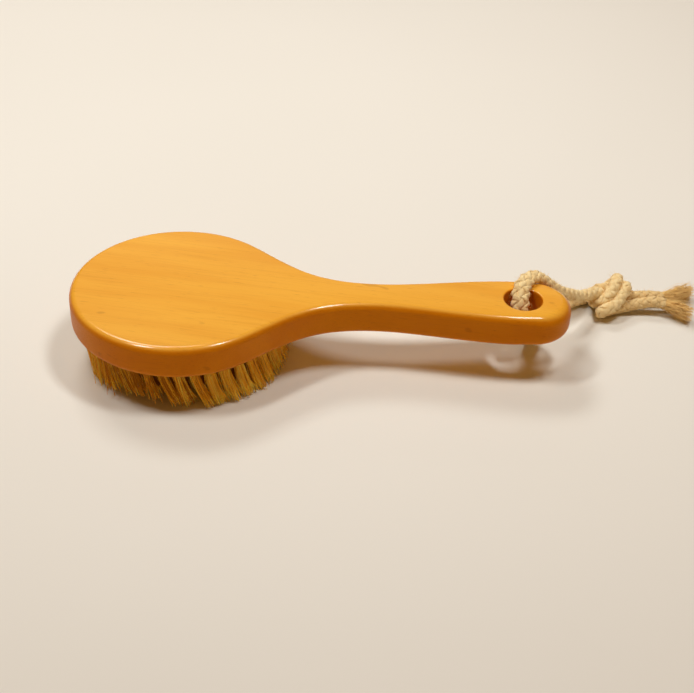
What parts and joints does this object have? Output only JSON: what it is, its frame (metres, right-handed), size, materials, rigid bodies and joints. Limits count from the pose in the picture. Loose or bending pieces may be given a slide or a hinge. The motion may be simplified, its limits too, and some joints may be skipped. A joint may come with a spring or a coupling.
{
  "type": "body dry brush",
  "caption": "Body dry brush: flat varnished wooden board with a round bristled head, a short handle with a hanging hole, and a knotted cotton hanging cord.",
  "frame": {"origin": "on the plane that the bristle tips stand on, below the middle of the outline of board and bristles", "axes": "+X along the handle, from the head to the handle's tip; +Z out of the board's flat top face, away from the bristles; +Y to the handle's side where the cord lies"},
  "size_m": [0.2559, 0.0934, 0.0363],
  "materials": {
    "varnished_wood": "clear gloss varnish over pale close-grained wood",
    "bristle": "undyed natural bristle, slightly shiny along each hair",
    "cotton_cord": "undyed soft braided cotton"
  },
  "bodies": {
    "root": {"wooden_body": "varnished_wood", "bristle_tuft_01": "bristle", "bristle_tuft_02": "bristle", "bristle_tuft_03": "bristle", "bristle_tuft_04": "bristle", "bristle_tuft_05": "bristle", "bristle_tuft_06": "bristle", "bristle_tuft_07": "bristle", "bristle_tuft_08": "bristle", "bristle_tuft_09": "bristle", "bristle_tuft_10": "bristle", "bristle_tuft_11": "bristle", "bristle_tuft_12": "bristle", "bristle_tuft_13": "bristle", "bristle_tuft_14": "bristle", "bristle_tuft_15": "bristle", "bristle_tuft_16": "bristle", "bristle_tuft_17": "bristle", "bristle_tuft_18": "bristle", "bristle_tuft_19": "bristle", "bristle_tuft_20": "bristle", "bristle_tuft_21": "bristle", "bristle_tuft_22": "bristle", "bristle_tuft_23": "bristle", "bristle_tuft_24": "bristle", "bristle_tuft_25": "bristle", "bristle_tuft_26": "bristle", "bristle_tuft_27": "bristle", "bristle_tuft_28": "bristle", "bristle_tuft_29": "bristle", "bristle_tuft_30": "bristle", "bristle_tuft_31": "bristle", "bristle_tuft_32": "bristle", "bristle_tuft_33": "bristle", "bristle_tuft_34": "bristle", "bristle_tuft_35": "bristle", "bristle_tuft_36": "bristle", "bristle_tuft_37": "bristle", "bristle_tuft_38": "bristle", "bristle_tuft_middle": "bristle", "bristle_ring_2": "bristle", "bristle_ring_3": "bristle", "bristle_ring_4": "bristle", "bristle_ring_5": "bristle", "bristle_ring_6": "bristle", "cord_loop": "cotton_cord", "cord_knot": "cotton_cord", "cord_tail_front": "cotton_cord", "cord_tail_rear": "cotton_cord", "frayed_end_front": "cotton_cord", "frayed_end_rear": "cotton_cord"}
  },
  "joints": []
}
